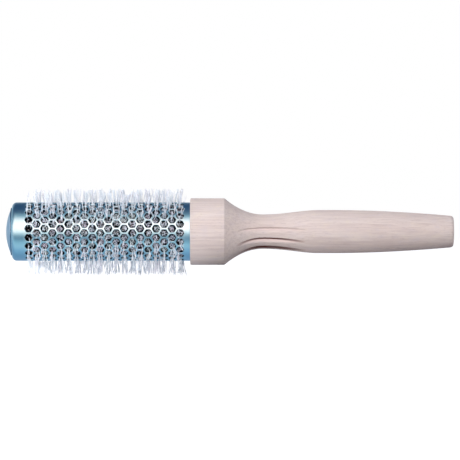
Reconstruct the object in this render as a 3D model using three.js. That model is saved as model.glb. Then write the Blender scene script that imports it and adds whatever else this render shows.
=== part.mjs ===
// A round barrel brush for blow-drying hair. A turned wooden handle holds a perforated aluminium
// barrel; a twisted pair of wires runs down the middle, grips the bristles, and carries them out
// through the barrel's hexagonal holes. Millimetres, +Z up. The brush lies along X: the middle of
// the handle's flat end is the origin, and the tip of the brush points towards -X.

import * as THREE from 'three';

// ---------------------------------------------------------------- driving sizes, in mm

const FIT_GAP = 0.3; // clearance between pieces that touch

// handle, from its flat end towards the barrel
const END_RADIUS = 9.3;
const END_FILLET = 2.4;
const GRIP_RADIUS = 12.55;
const GRIP_TAPER_LENGTH = 70;
const GRIP_TAPER_BEND = 0.57; // where along the taper it bends most
const BELLY_LENGTH = 9;
const WAIST_LENGTH = 32;
const WAIST_ROUNDING = 0.28; // share of the waist that rounds off the belly
const WAIST_HOLLOW = 0.4; // share of the waist that eases into the neck
const NECK_RADIUS = 10;
const FLARE_LENGTH = 22.3;
const FLARE_HOLLOW = 0.5; // share of the flare that stays near the neck's radius
const COLLAR_LENGTH = 19.9;
const COLLAR_WALL = 2.4; // how far the collar stands out from the barrel
const COLLAR_CHAMFER = 0.5;
const BARREL_SEAT_DEPTH = 10; // how deep the barrel sits in the collar
const WIRE_SEAT_DEPTH = 25; // how deep the wires sit below that

// barrel
const BARREL_RADIUS = 17;
const BARREL_WALL = 0.9;
const HOLES_AROUND = 20;
const HOLE_COLUMNS = 20;
const COLUMN_PITCH = 4.61;
const HOLE_WEB = 1.1; // metal left between two holes of a column
const REAR_BAND_LENGTH = 3.33; // plain band in front of the collar
const TIP_BAND_LENGTH = 5; // plain band behind the rounded shoulder
const SHOULDER_RADIUS = 2.8;
const LIP_WIDTH = 1.5; // flat lip inside the shoulder
const FIRST_HOLE_ANGLE = THREE.MathUtils.degToRad(6);

// cap on the tip
const CAP_OVERHANG = 1.2; // how far the dome covers the lip
const DOME_HEIGHT = 3.2;
const SKIRT_LENGTH = 5;
const SKIRT_WALL = 1.1;
const CAP_BOSS_WALL = 1.5;
const CAP_BOSS_LENGTH = 6.4;
const CAP_SOCKET_FLOOR = 1; // plastic between the dome's seat and the wires' ends

// plug in the rear of the barrel
const PLUG_LENGTH = 8;
const PLUG_WALL = 1.6;

// twisted wires
const WIRE_RADIUS = 1.05;
const WIRE_SPACE = 0.5; // between the two wires
const WIRE_PITCH = 24;

// bristles
const BRISTLE_RADIUS = 25.6; // tip of the longest strand
const TRIM_UNEVENNESS = 2;
const STRAND_RADIUS = 0.45; // at the tip
const STRAND_LEAN = 0.8; // how far a strand's tip strays along and round the brush
const ROOT_LENGTH = 1.3; // of a strand's root along the wires
const BACKING_WALL = 0.9; // the gripped roots round the wires
const BRISTLE_NODES = 4;

// facets of the round pieces
const HANDLE_SIDES = 28;
const CAP_SIDES = 24;
const PLUG_SIDES = 20;
const WIRE_SIDES = 5;
const WIRE_STEPS_PER_TURN = 8;

// ---------------------------------------------------------------- places along X

const collarFaceX = -(GRIP_TAPER_LENGTH + BELLY_LENGTH + WAIST_LENGTH + FLARE_LENGTH + COLLAR_LENGTH);
const seatFloorX = collarFaceX + BARREL_SEAT_DEPTH;
const wireFloorX = seatFloorX + WIRE_SEAT_DEPTH;
const barrelRearX = seatFloorX - FIT_GAP;

// A hole is its honeycomb cell drawn in to leave the web.
const ringPitch = (2 * Math.PI * BARREL_RADIUS) / HOLES_AROUND;
const holeShare = 1 - HOLE_WEB / ringPitch;
const holeHalfLength = (2 / 3) * COLUMN_PITCH * holeShare;

const lastColumnX = collarFaceX - REAR_BAND_LENGTH - holeHalfLength;
const firstColumnX = lastColumnX - (HOLE_COLUMNS - 1) * COLUMN_PITCH;
const shoulderX = firstColumnX - holeHalfLength - TIP_BAND_LENGTH;
const lipFaceX = shoulderX - SHOULDER_RADIUS;
const capSeatX = lipFaceX - FIT_GAP;

// The wires end square to their own helix, so the edges of their ends stand out along X.
const wireOffset = WIRE_RADIUS + WIRE_SPACE / 2;
const wirePairRadius = wireOffset + WIRE_RADIUS;
const wireLean = Math.atan((2 * Math.PI * wireOffset) / WIRE_PITCH);
const wireEndGap = FIT_GAP + WIRE_RADIUS * Math.sin(wireLean);
const wireTipX = capSeatX + CAP_SOCKET_FLOOR + wireEndGap;
const wireRearX = wireFloorX - wireEndGap;

// ---------------------------------------------------------------- radii that fit each other

// A faceted hole is widened, so that its flats clear a round piece of this radius.
const holeRadius = (radius, sides) => (radius + FIT_GAP) / Math.cos(Math.PI / sides);
// A round piece that passes through a faceted hole stays inside its flats.
const plugRadius = (radius, sides) => radius * Math.cos(Math.PI / sides) - FIT_GAP;

const barrelSides = 2 * HOLES_AROUND;
const lipRadius = BARREL_RADIUS - SHOULDER_RADIUS - LIP_WIDTH;

const point = (radius, x) => new THREE.Vector2(radius, x);

// Runs of profile points joined into one, without the points that they share.
function joined(...runs) {
  return runs.flat().filter((p, i, all) => i === 0 || p.distanceTo(all[i - 1]) > 1e-6);
}

// A profile of (radius, x) points turned round the X axis.
function turned(profile, sides) {
  return new THREE.LatheGeometry(profile, sides).rotateZ(-Math.PI / 2);
}

// ---------------------------------------------------------------- handle

function handleGeometry() {
  const beltX = -GRIP_TAPER_LENGTH;
  const waistX = beltX - BELLY_LENGTH;
  const neckX = waistX - WAIST_LENGTH;
  const collarX = neckX - FLARE_LENGTH;
  const collarRadius = BARREL_RADIUS + COLLAR_WALL;
  const seatRadius = holeRadius(BARREL_RADIUS, HANDLE_SIDES);
  const wireBore = holeRadius(wirePairRadius, HANDLE_SIDES);

  const fillet = new THREE.QuadraticBezierCurve(
    point(END_RADIUS - END_FILLET, 0),
    point(END_RADIUS, 0),
    point(END_RADIUS, -END_FILLET),
  );
  const taper = new THREE.QuadraticBezierCurve(
    point(END_RADIUS, -END_FILLET),
    point(GRIP_RADIUS, beltX * GRIP_TAPER_BEND),
    point(GRIP_RADIUS, beltX),
  );
  const waist = new THREE.CubicBezierCurve(
    point(GRIP_RADIUS, waistX),
    point(GRIP_RADIUS, waistX - WAIST_LENGTH * WAIST_ROUNDING),
    point(NECK_RADIUS, neckX + WAIST_LENGTH * WAIST_HOLLOW),
    point(NECK_RADIUS, neckX),
  );
  const flare = new THREE.QuadraticBezierCurve(
    point(NECK_RADIUS, neckX),
    point(NECK_RADIUS, neckX - FLARE_LENGTH * FLARE_HOLLOW),
    point(collarRadius, collarX),
  );
  const collarAndBores = [
    point(collarRadius, collarFaceX + COLLAR_CHAMFER),
    point(collarRadius - COLLAR_CHAMFER, collarFaceX),
    point(seatRadius, collarFaceX),
    point(seatRadius, seatFloorX),
    point(wireBore, seatFloorX),
    point(wireBore, wireFloorX),
    point(0, wireFloorX),
  ];
  const profile = joined(
    [point(0, 0)],
    fillet.getPoints(3),
    taper.getPoints(4),
    waist.getPoints(6),
    flare.getPoints(6),
    collarAndBores,
  );
  return turned(profile.reverse(), HANDLE_SIDES);
}

// ---------------------------------------------------------------- surfaces built from rings

// Collects the corners and triangles of one closed surface round the X axis.
class Surface {
  constructor() {
    this.corners = [];
    this.triangles = [];
  }

  // A corner at a height along X, a radius and an angle; the angle is 0 towards -Y, up is positive.
  corner(x, radius, angle) {
    this.corners.push(x, -radius * Math.cos(angle), radius * Math.sin(angle));
    return { index: this.corners.length / 3 - 1, angle };
  }

  // One full ring of corners, evenly spaced from a first angle.
  ring(x, radius, count, firstAngle) {
    const step = (2 * Math.PI) / count;
    return Array.from({ length: count }, (_, i) => this.corner(x, radius, firstAngle + i * step));
  }

  triangle(a, b, c) {
    this.triangles.push(a.index, b.index, c.index);
  }

  // A four-sided face, its corners in order round it.
  quad(a, b, c, d) {
    this.triangle(a, b, c);
    this.triangle(a, c, d);
  }

  // The strip between two rings that run round by rising angle, each from about the same angle.
  // Seen from outside, with +X to the right, the first ring is the one on the left.
  strip(left, right) {
    const turn = 2 * Math.PI;
    const angleOf = (ring, i) => ring[i % ring.length].angle + (i >= ring.length ? turn : 0);
    let i = 0;
    let j = 0;
    while (i < left.length || j < right.length) {
      const a = left[i % left.length];
      const b = right[j % right.length];
      const leftNext = i < left.length ? angleOf(left, i + 1) : Infinity;
      const rightNext = j < right.length ? angleOf(right, j + 1) : Infinity;
      if (leftNext <= rightNext) {
        this.triangle(a, b, left[(i + 1) % left.length]);
        i += 1;
      } else {
        this.triangle(a, b, right[(j + 1) % right.length]);
        j += 1;
      }
    }
  }

  geometry() {
    const geometry = new THREE.BufferGeometry();
    geometry.setAttribute('position', new THREE.Float32BufferAttribute(this.corners, 3));
    geometry.setIndex(this.triangles);
    geometry.computeVertexNormals();
    return geometry;
  }
}

// ---------------------------------------------------------------- barrel

const holeStep = (2 * Math.PI) / HOLES_AROUND;
// Every other column is turned by half a hole.
const columnAngle = (column) => FIRST_HOLE_ANGLE + (column % 2) * (holeStep / 2);
const columnX = (column) => firstColumnX + column * COLUMN_PITCH;

// The six corners of each hole, at one radius: corner 0 points to +X and they run towards +angle.
function holeCorners(surface, radius) {
  const across = (COLUMN_PITCH * holeShare) / 3;
  const flat = (holeStep * holeShare) / 2;
  const outline = [[2, 0], [1, 1], [-1, 1], [-2, 0], [-1, -1], [1, -1]];
  const holes = [];
  for (let column = 0; column < HOLE_COLUMNS; column += 1) {
    const row = [];
    for (let hole = 0; hole < HOLES_AROUND; hole += 1) {
      const angle = columnAngle(column) + hole * holeStep;
      const corners = outline.map(([along, round]) => (
        surface.corner(columnX(column) + along * across, radius, angle + round * flat)));
      row.push(corners);
    }
    holes.push(row);
  }
  return holes;
}

// The metal between the holes of one skin; the inner skin faces the other way.
function webs(surface, holes, facing) {
  const face = (...corners) => {
    const ordered = facing > 0 ? corners : corners.reverse();
    if (ordered.length === 3) surface.triangle(...ordered);
    else surface.quad(...ordered);
  };
  const at = (column, hole) => holes[column][(hole + HOLES_AROUND) % HOLES_AROUND];
  for (let column = 0; column < HOLE_COLUMNS; column += 1) {
    for (let hole = 0; hole < HOLES_AROUND; hole += 1) {
      const here = at(column, hole);
      const above = at(column, hole + 1);
      face(here[1], above[5], above[4], here[2]);
      if (column + 1 < HOLE_COLUMNS) {
        // The next column's holes stand half a step up and half a step down.
        const up = at(column + 1, hole + (column % 2));
        const down = at(column + 1, hole + (column % 2) - 1);
        face(here[0], up[4], up[3], here[1]);
        face(here[0], here[5], down[3], down[2]);
        face(here[0], down[2], up[4]);
        face(here[1], up[3], above[5]);
      }
    }
  }
}

function barrelGeometry() {
  const surface = new Surface();
  const innerRadius = BARREL_RADIUS - BARREL_WALL;
  const outer = holeCorners(surface, BARREL_RADIUS);
  const inner = holeCorners(surface, innerRadius);
  webs(surface, outer, 1);
  webs(surface, inner, -1);
  outer.flat().forEach((hole, n) => {
    const within = inner.flat()[n];
    hole.forEach((corner, k) => {
      const next = (k + 1) % hole.length;
      surface.quad(corner, hole[next], within[next], within[k]);
    });
  });

  const last = HOLE_COLUMNS - 1;
  const tipEdge = (skin) => skin[0].flatMap((hole) => [hole[4], hole[3], hole[2]]);
  const rearEdge = (skin) => skin[last].flatMap((hole) => [hole[5], hole[0], hole[1]]);
  const ringAt = (x, radius, column) => (
    surface.ring(x, radius, barrelSides, columnAngle(column) - holeStep / 2));

  // round the shoulder and the lip, back to the inner skin
  const shoulderSteps = 3;
  const arcRadius = BARREL_RADIUS - SHOULDER_RADIUS;
  const tipRings = [];
  for (let step = 0; step <= shoulderSteps; step += 1) {
    const angle = (step / shoulderSteps) * (Math.PI / 2);
    const x = shoulderX - SHOULDER_RADIUS * Math.sin(angle);
    tipRings.push(ringAt(x, arcRadius + SHOULDER_RADIUS * Math.cos(angle), 0));
  }
  tipRings.push(ringAt(lipFaceX, lipRadius, 0));
  tipRings.push(ringAt(lipFaceX + BARREL_WALL, lipRadius, 0));
  tipRings.push(ringAt(lipFaceX + BARREL_WALL, arcRadius, 0));
  tipRings.push(ringAt(shoulderX, innerRadius, 0));
  surface.strip(tipRings[0], tipEdge(outer));
  for (let i = 1; i < tipRings.length; i += 1) surface.strip(tipRings[i], tipRings[i - 1]);
  surface.strip(tipEdge(inner), tipRings[tipRings.length - 1]);

  const rearOuter = ringAt(barrelRearX, BARREL_RADIUS, last);
  const rearInner = ringAt(barrelRearX, innerRadius, last);
  surface.strip(rearEdge(outer), rearOuter);
  surface.strip(rearOuter, rearInner);
  surface.strip(rearInner, rearEdge(inner));
  return surface.geometry();
}

// ---------------------------------------------------------------- cap and plug

function tipCapGeometry() {
  const rimRadius = lipRadius + CAP_OVERHANG;
  const domeRadius = (rimRadius ** 2 + DOME_HEIGHT ** 2) / (2 * DOME_HEIGHT);
  const domeAngle = Math.asin(rimRadius / domeRadius);
  const skirtRadius = plugRadius(lipRadius, barrelSides);
  const socketRadius = holeRadius(wirePairRadius, CAP_SIDES);
  const bossRadius = socketRadius + CAP_BOSS_WALL;

  const domeSteps = 3;
  const dome = Array.from({ length: domeSteps + 1 }, (_, i) => {
    const angle = (i / domeSteps) * domeAngle;
    const rise = domeRadius * (Math.cos(angle) - Math.cos(domeAngle));
    return point(domeRadius * Math.sin(angle), capSeatX - rise);
  });
  const underside = [
    point(skirtRadius, capSeatX),
    point(skirtRadius, capSeatX + SKIRT_LENGTH),
    point(skirtRadius - SKIRT_WALL, capSeatX + SKIRT_LENGTH),
    point(skirtRadius - SKIRT_WALL, capSeatX),
    point(bossRadius, capSeatX),
    point(bossRadius, capSeatX + CAP_BOSS_LENGTH),
    point(socketRadius, capSeatX + CAP_BOSS_LENGTH),
    point(socketRadius, capSeatX + CAP_SOCKET_FLOOR),
    point(0, capSeatX + CAP_SOCKET_FLOOR),
  ];
  return turned(joined(dome, underside), CAP_SIDES);
}

function rearPlugGeometry() {
  const rimRadius = plugRadius(BARREL_RADIUS - BARREL_WALL, barrelSides);
  const boreRadius = holeRadius(wirePairRadius, PLUG_SIDES);
  const frontX = barrelRearX - PLUG_LENGTH;
  const profile = [
    point(rimRadius, frontX),
    point(rimRadius - PLUG_WALL, frontX),
    point(rimRadius - PLUG_WALL, barrelRearX - PLUG_WALL),
    point(boreRadius + PLUG_WALL, barrelRearX - PLUG_WALL),
    point(boreRadius + PLUG_WALL, frontX),
    point(boreRadius, frontX),
    point(boreRadius, barrelRearX),
    point(rimRadius, barrelRearX),
    point(rimRadius, frontX),
  ];
  return turned(profile.reverse(), PLUG_SIDES);
}

// ---------------------------------------------------------------- twisted wires

class TwistedWire extends THREE.Curve {
  constructor(startAngle) {
    super();
    this.startAngle = startAngle;
  }

  getPoint(share, target = new THREE.Vector3()) {
    const x = THREE.MathUtils.lerp(wireTipX, wireRearX, share);
    const angle = this.startAngle + (2 * Math.PI * (x - wireTipX)) / WIRE_PITCH;
    return target.set(x, wireOffset * Math.cos(angle), wireOffset * Math.sin(angle));
  }
}

function wireGeometry(startAngle) {
  const section = new THREE.Shape();
  for (let side = 0; side < WIRE_SIDES; side += 1) {
    const angle = (2 * Math.PI * side) / WIRE_SIDES;
    const corner = [WIRE_RADIUS * Math.cos(angle), WIRE_RADIUS * Math.sin(angle)];
    if (side === 0) section.moveTo(...corner);
    else section.lineTo(...corner);
  }
  const turns = (wireRearX - wireTipX) / WIRE_PITCH;
  return new THREE.ExtrudeGeometry(section, {
    steps: Math.round(turns * WIRE_STEPS_PER_TURN),
    bevelEnabled: false,
    extrudePath: new TwistedWire(startAngle),
  });
}

// ---------------------------------------------------------------- bristles

// Repeatable scatter between -1 and 1 for the n-th strand; each kind strays in its own way.
const SCATTER_STEPS = { trim: 0.618034, along: 0.754878, round: 0.56984 };
const scatter = (kind, n) => 2 * ((n * SCATTER_STEPS[kind]) % 1) - 1;

// One tapered three-sided strand from its root on the backing to its trimmed tip.
function addStrand(surface, root, column, hole) {
  const n = column * HOLES_AROUND + hole;
  const tipRadius = BRISTLE_RADIUS - (TRIM_UNEVENNESS * (1 + scatter('trim', n))) / 2;
  const tipX = columnX(column) + STRAND_LEAN * scatter('along', n);
  const tipAngle = columnAngle(column) + hole * holeStep
    + (STRAND_LEAN * scatter('round', n)) / tipRadius;
  const half = STRAND_RADIUS / tipRadius;
  const tip = [
    surface.corner(tipX - STRAND_RADIUS / 2, tipRadius, tipAngle - half),
    surface.corner(tipX + STRAND_RADIUS, tipRadius, tipAngle),
    surface.corner(tipX - STRAND_RADIUS / 2, tipRadius, tipAngle + half),
  ];
  root.forEach((corner, k) => {
    const next = (k + 1) % root.length;
    surface.quad(corner, root[next], tip[next], tip[k]);
  });
  surface.triangle(...tip);
}

// A slice of the gripped roots round the wires, with the strands of its columns of holes.
function bristleGeometry(firstColumn, endColumn) {
  const surface = new Surface();
  const radius = wirePairRadius + FIT_GAP + BACKING_WALL;
  const boreRadius = holeRadius(wirePairRadius, HOLES_AROUND);
  const startX = columnX(firstColumn) - COLUMN_PITCH / 2 + FIT_GAP / 2;
  const endX = columnX(endColumn - 1) + COLUMN_PITCH / 2 - FIT_GAP / 2;
  const startAngle = columnAngle(firstColumn) - holeStep / 2;

  const startBore = surface.ring(startX, boreRadius, HOLES_AROUND, startAngle);
  let edge = surface.ring(startX, radius, HOLES_AROUND, startAngle);
  surface.strip(startBore, edge);
  for (let column = firstColumn; column < endColumn; column += 1) {
    const angle = columnAngle(column);
    const x = columnX(column);
    const front = surface.ring(x - ROOT_LENGTH / 2, radius, HOLES_AROUND, angle - holeStep / 2);
    const back = surface.ring(x + ROOT_LENGTH / 2, radius, HOLES_AROUND, angle);
    surface.strip(edge, front);
    for (let hole = 0; hole < HOLES_AROUND; hole += 1) {
      const nextFront = front[(hole + 1) % HOLES_AROUND];
      addStrand(surface, [front[hole], back[hole], nextFront], column, hole);
      surface.triangle(back[hole], back[(hole + 1) % HOLES_AROUND], nextFront);
    }
    edge = back;
  }
  const lastAngle = columnAngle(endColumn - 1);
  const end = surface.ring(endX, radius, HOLES_AROUND, lastAngle);
  const endBore = surface.ring(endX, boreRadius, HOLES_AROUND, lastAngle);
  surface.strip(edge, end);
  surface.strip(end, endBore);
  surface.strip(endBore, startBore);
  return surface.geometry();
}

// ---------------------------------------------------------------- assembly

const finishes = {
  wood: new THREE.MeshStandardMaterial({ color: '#dbc9c4', roughness: 0.75, metalness: 0 }),
  anodised: new THREE.MeshStandardMaterial({ color: '#5c9cc0', roughness: 0.28, metalness: 0.85 }),
  bluePlastic: new THREE.MeshStandardMaterial({ color: '#8aaac8', roughness: 0.45, metalness: 0 }),
  greyPlastic: new THREE.MeshStandardMaterial({ color: '#8c9096', roughness: 0.6, metalness: 0 }),
  wire: new THREE.MeshStandardMaterial({ color: '#a9adb2', roughness: 0.4, metalness: 1 }),
  nylon: new THREE.MeshStandardMaterial({ color: '#e6eaf3', roughness: 0.4, metalness: 0 }),
};

const brush = new THREE.Group();

function add(name, geometry, finish) {
  const mesh = new THREE.Mesh(geometry, finishes[finish].clone());
  mesh.name = name;
  brush.add(mesh);
}

add('handle', handleGeometry(), 'wood');
add('barrel', barrelGeometry(), 'anodised');
add('tip_cap', tipCapGeometry(), 'bluePlastic');
add('rear_plug', rearPlugGeometry(), 'greyPlastic');
add('wire_strand_1', wireGeometry(0), 'wire');
add('wire_strand_2', wireGeometry(Math.PI), 'wire');
for (let i = 0; i < BRISTLE_NODES; i += 1) {
  const firstColumn = Math.round((i * HOLE_COLUMNS) / BRISTLE_NODES);
  const endColumn = Math.round(((i + 1) * HOLE_COLUMNS) / BRISTLE_NODES);
  add(`bristles_${i + 1}`, bristleGeometry(firstColumn, endColumn), 'nylon');
}

export default brush;
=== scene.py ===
"""The looks of a round barrel brush, dressed round its CAD frame. Metres, +Z up.

The brush lies along X: the middle of the handle's flat end is the origin, and the tip points
to -X. An angle round the brush is 0 towards -Y, where the camera stands, and rises towards +Z.
Perforated metal, bristles and twisted wires are grown by Geometry Nodes; the turned pieces are
lathed from short profiles, and the handle's grooves are cut into its mesh.
"""

import math

import bmesh
import bpy
import numpy as np
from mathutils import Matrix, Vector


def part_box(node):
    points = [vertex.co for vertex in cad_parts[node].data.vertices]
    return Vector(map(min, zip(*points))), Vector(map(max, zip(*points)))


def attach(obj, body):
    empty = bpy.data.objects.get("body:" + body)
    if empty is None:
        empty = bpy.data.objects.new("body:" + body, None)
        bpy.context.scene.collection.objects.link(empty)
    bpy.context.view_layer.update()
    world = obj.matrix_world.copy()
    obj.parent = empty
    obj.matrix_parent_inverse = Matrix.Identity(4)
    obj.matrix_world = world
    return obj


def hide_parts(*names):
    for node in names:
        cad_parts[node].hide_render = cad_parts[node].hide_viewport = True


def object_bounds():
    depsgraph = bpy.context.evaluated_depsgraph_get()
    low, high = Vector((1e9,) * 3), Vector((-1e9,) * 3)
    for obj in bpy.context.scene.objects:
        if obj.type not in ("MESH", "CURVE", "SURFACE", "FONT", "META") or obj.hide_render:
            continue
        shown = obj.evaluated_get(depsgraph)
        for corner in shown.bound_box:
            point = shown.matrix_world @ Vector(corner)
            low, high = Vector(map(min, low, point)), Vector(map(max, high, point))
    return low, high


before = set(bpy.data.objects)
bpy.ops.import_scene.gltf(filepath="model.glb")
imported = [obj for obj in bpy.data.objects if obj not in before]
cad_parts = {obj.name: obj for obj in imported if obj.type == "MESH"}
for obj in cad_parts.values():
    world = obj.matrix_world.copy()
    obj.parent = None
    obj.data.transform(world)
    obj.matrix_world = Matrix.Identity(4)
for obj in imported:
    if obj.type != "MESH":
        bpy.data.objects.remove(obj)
CAD_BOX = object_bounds()

MM = 0.001
BODY = "root"

# ---- sizes, as the frame has them

FIT_GAP = 0.3 * MM

END_RADIUS = 9.3 * MM
END_FILLET = 2.4 * MM
GRIP_RADIUS = 12.55 * MM
GRIP_TAPER_LENGTH = 70 * MM
GRIP_TAPER_BEND = 0.57
BELLY_LENGTH = 9 * MM
WAIST_LENGTH = 32 * MM
WAIST_ROUNDING = 0.28
WAIST_HOLLOW = 0.4
NECK_RADIUS = 10 * MM
FLARE_LENGTH = 22.3 * MM
FLARE_HOLLOW = 0.5
COLLAR_RADIUS = 19.4 * MM
COLLAR_ROUNDING = 0.5 * MM
COLLAR_EDGE = 0.25 * MM  # the eased edge between the flare and the collar
COLLAR_EDGE_DROP = 0.84  # share of it by which the flare ends below the collar
SEAT_RADIUS = 17.35 * MM
SEAT_DEPTH = 10 * MM
WIRE_BORE_RADIUS = 2.66 * MM
WIRE_BORE_DEPTH = 25 * MM

BARREL_RADIUS = 17 * MM
BARREL_WALL = 0.9 * MM
HOLES_AROUND = 20
HOLE_COLUMNS = 20
HOLE_WEB = 1.1 * MM
FIRST_HOLE_ANGLE = math.radians(6)
SHOULDER_RADIUS = 2.8 * MM
LIP_WIDTH = 1.5 * MM
HOLE_BEVEL = 0.2 * MM
HOLE_ROUNDING = 0.04  # share of a hole's corner that is rounded off

CAP_OVERHANG = 1.2 * MM
CAP_EDGE = 0.25 * MM
SKIRT_LENGTH = 5 * MM
SKIRT_WALL = 1.1 * MM
SKIRT_CLEARANCE = 0.35 * MM
BOSS_WALL = 1.5 * MM
BOSS_LENGTH = 6.4 * MM
SOCKET_FLOOR = 1 * MM

PLUG_WALL = 1.6 * MM
PLUG_CLEARANCE = 0.35 * MM

WIRE_RADIUS = 1.05 * MM
WIRE_SPACE = 0.5 * MM
WIRE_PITCH = 24 * MM
WIRE_CORE_RADIUS = 2 * WIRE_RADIUS + WIRE_SPACE / 2

BRISTLE_NODES = 4
STRAND_REACH = 25.2 * MM  # the longest strand, from the brush's middle line

# ---- places, read from the frame


def span_x(node):
    """Where a CAD node starts and ends along X."""
    low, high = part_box(node)
    return low.x, high.x


collar_face_x = span_x("handle")[0]
lip_face_x, barrel_rear_x = span_x("barrel")
dome_top_x = span_x("tip_cap")[0]
plug_front_x = span_x("rear_plug")[0]
wire_tip_x, wire_rear_x = span_x("wire_strand_1")
bristles_start_x = span_x("bristles_1")[0]
bristles_end_x = span_x(f"bristles_{BRISTLE_NODES}")[1]

column_pitch = (bristles_end_x - bristles_start_x + FIT_GAP) / HOLE_COLUMNS
first_column_x = bristles_start_x + (column_pitch - FIT_GAP) / 2
last_column_x = first_column_x + (HOLE_COLUMNS - 1) * column_pitch
hole_step = 2 * math.pi / HOLES_AROUND
hole_share = 1 - HOLE_WEB / (hole_step * BARREL_RADIUS)
cell_half_length = 2 / 3 * column_pitch
shoulder_x = lip_face_x + SHOULDER_RADIUS
cap_seat_x = lip_face_x - FIT_GAP
lip_radius = BARREL_RADIUS - SHOULDER_RADIUS - LIP_WIDTH
floor_z = CAD_BOX[0].z

# ---- node trees in plain arithmetic


class Value:
    """What a node puts out, used in formulas as a number is."""

    def __init__(self, tree, socket):
        self.tree = tree
        self.socket = socket

    def __neg__(self):
        return self.tree.math("MULTIPLY", self, -1)

    def cos(self):
        return self.tree.math("COSINE", self)

    def sin(self):
        return self.tree.math("SINE", self)

    def root(self):
        return self.tree.math("SQRT", self)

    def floor(self):
        return self.tree.math("FLOOR", self)

    def power(self, exponent):
        return self.tree.math("POWER", self, exponent)

    def wrapped(self, period):
        """The remainder after whole periods, never below 0."""
        return self.tree.math("FLOORED_MODULO", self, period)

    def at_most(self, limit):
        return self.tree.math("MINIMUM", self, limit)

    def at_least(self, limit):
        return self.tree.math("MAXIMUM", self, limit)


def formula_sign(operation, swapped):
    """The method of Value behind one sign of a formula, with its two sides swapped or not."""

    def combine(value, other):
        sides = (other, value) if swapped else (value, other)
        return value.tree.math(operation, *sides)

    return combine


SIGNS = {"add": "ADD", "sub": "SUBTRACT", "mul": "MULTIPLY", "truediv": "DIVIDE"}
for sign, operation in SIGNS.items():
    setattr(Value, f"__{sign}__", formula_sign(operation, False))
    setattr(Value, f"__r{sign}__", formula_sign(operation, True))


class Tree:
    """A node tree that grows one call at a time, from left to right."""

    def __init__(self, node_tree):
        self.node_tree = node_tree
        self.nodes = node_tree.nodes

    def feed(self, socket, value):
        """Sets a socket to a number, or wires it to what a node puts out."""
        if isinstance(value, Value):
            self.node_tree.links.new(value.socket, socket)
        else:
            socket.default_value = value

    def node(self, kind, values=None, **settings):
        """Adds a node. The values go to its input sockets, by name or by number."""
        made = self.nodes.new(kind)
        for setting, value in settings.items():
            setattr(made, setting, value)
        for socket, value in (values or {}).items():
            self.feed(made.inputs[socket], value)
        return made

    def out(self, made, socket=0):
        return Value(self, made.outputs[socket])

    def result(self, kind, values=None, **settings):
        """Adds a node and gives back its first output."""
        return self.out(self.node(kind, values, **settings))

    def math(self, operation, *values):
        return self.result("ShaderNodeMath", dict(enumerate(values)), operation=operation)

    def point(self, x, y, z):
        return self.result("ShaderNodeCombineXYZ", {"X": x, "Y": y, "Z": z})

    def parts(self, vector):
        """The X, Y and Z of a vector."""
        made = self.node("ShaderNodeSeparateXYZ", {"Vector": vector})
        return [self.out(made, axis) for axis in "XYZ"]


SOCKET_KINDS = {
    "geometry": "NodeSocketGeometry",
    "size": "NodeSocketFloat",
    "count": "NodeSocketInt",
    "finish": "NodeSocketMaterial",
    "mask": "NodeSocketFloat",
    "place": "NodeSocketVector",
}


def new_socket(group, title, kind, side):
    return group.interface.new_socket(title, in_out=side, socket_type=SOCKET_KINDS[kind])


def in_scene(name, data):
    """An object at the origin, linked to the scene."""
    made = bpy.data.objects.new(name, data)
    bpy.context.scene.collection.objects.link(made)
    return made


class Builder(Tree):
    """A tree of Geometry Nodes with named inputs, used as a modifier that is applied at once.

    Each input comes with its usual value. A whole number makes it a count, any other number a
    size, and a material a finish.
    """

    def __init__(self, name, **inputs):
        group = bpy.data.node_groups.new(name, "GeometryNodeTree")
        self.usual_values = inputs
        self.sockets = {"geometry": new_socket(group, "Geometry", "geometry", "INPUT")}
        for label, value in inputs.items():
            kind = {int: "count", float: "size"}.get(type(value), "finish")
            title = label.replace("_", " ").capitalize()
            self.sockets[label] = new_socket(group, title, kind, "INPUT")
        new_socket(group, "Geometry", "geometry", "OUTPUT")
        super().__init__(group)
        self.entry = self.nodes.new("NodeGroupInput")

    def given(self, label):
        """The value of one of the tree's own inputs."""
        return self.out(self.entry, list(self.sockets).index(label))

    def random(self, low, high, seed, number=None):
        """A number between two others, the same each time for the same seed and point, or for
        the same seed and number."""
        made = self.nodes.new("FunctionNodeRandomValue")
        made.data_type = "FLOAT"
        for socket in made.inputs:
            value = {"Min": low, "Max": high, "Seed": seed, "ID": number}.get(socket.name)
            if socket.enabled and value is not None:
                self.feed(socket, value)
        return Value(self, next(s for s in made.outputs if s.enabled))

    def keep(self, geometry, name, *values):
        """Keeps three numbers with each point of the geometry, under one name."""
        made = self.node("GeometryNodeStoreNamedAttribute", data_type="FLOAT_VECTOR")
        vector = self.point(*values)
        for socket in made.inputs:
            value = {"Geometry": geometry, "Name": name, "Value": vector}.get(socket.name)
            if socket.enabled and value is not None:
                self.feed(socket, value)
        return self.out(made)

    def kept(self, name):
        """The three numbers that were kept under this name."""
        vector = self.result(
            "GeometryNodeInputNamedAttribute", {"Name": name}, data_type="FLOAT_VECTOR"
        )
        return self.parts(vector)

    def finish(self, geometry):
        """Ends the tree: real faces, with their finish."""
        solid = self.result("GeometryNodeRealizeInstances", {"Geometry": geometry})
        dressed = self.result(
            "GeometryNodeSetMaterial", {"Geometry": solid, "Material": self.given("finish")}
        )
        self.node("NodeGroupOutput", {0: dressed})

    def grow(self, name, base_mesh, **changed):
        """Runs the tree on a mesh and gives back a plain object. The inputs have their usual
        values, but for those that are changed here."""
        base = in_scene(name + "_base", base_mesh)
        modifier = base.modifiers.new(name, "NODES")
        modifier.node_group = self.node_tree
        for label, value in {**self.usual_values, **changed}.items():
            modifier[self.sockets[label].identifier] = value
        evaluated = base.evaluated_get(bpy.context.evaluated_depsgraph_get())
        mesh = bpy.data.meshes.new_from_object(evaluated)
        bpy.data.objects.remove(base)
        mesh.name = name
        return in_scene(name, mesh)


# ---- finishes


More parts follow.
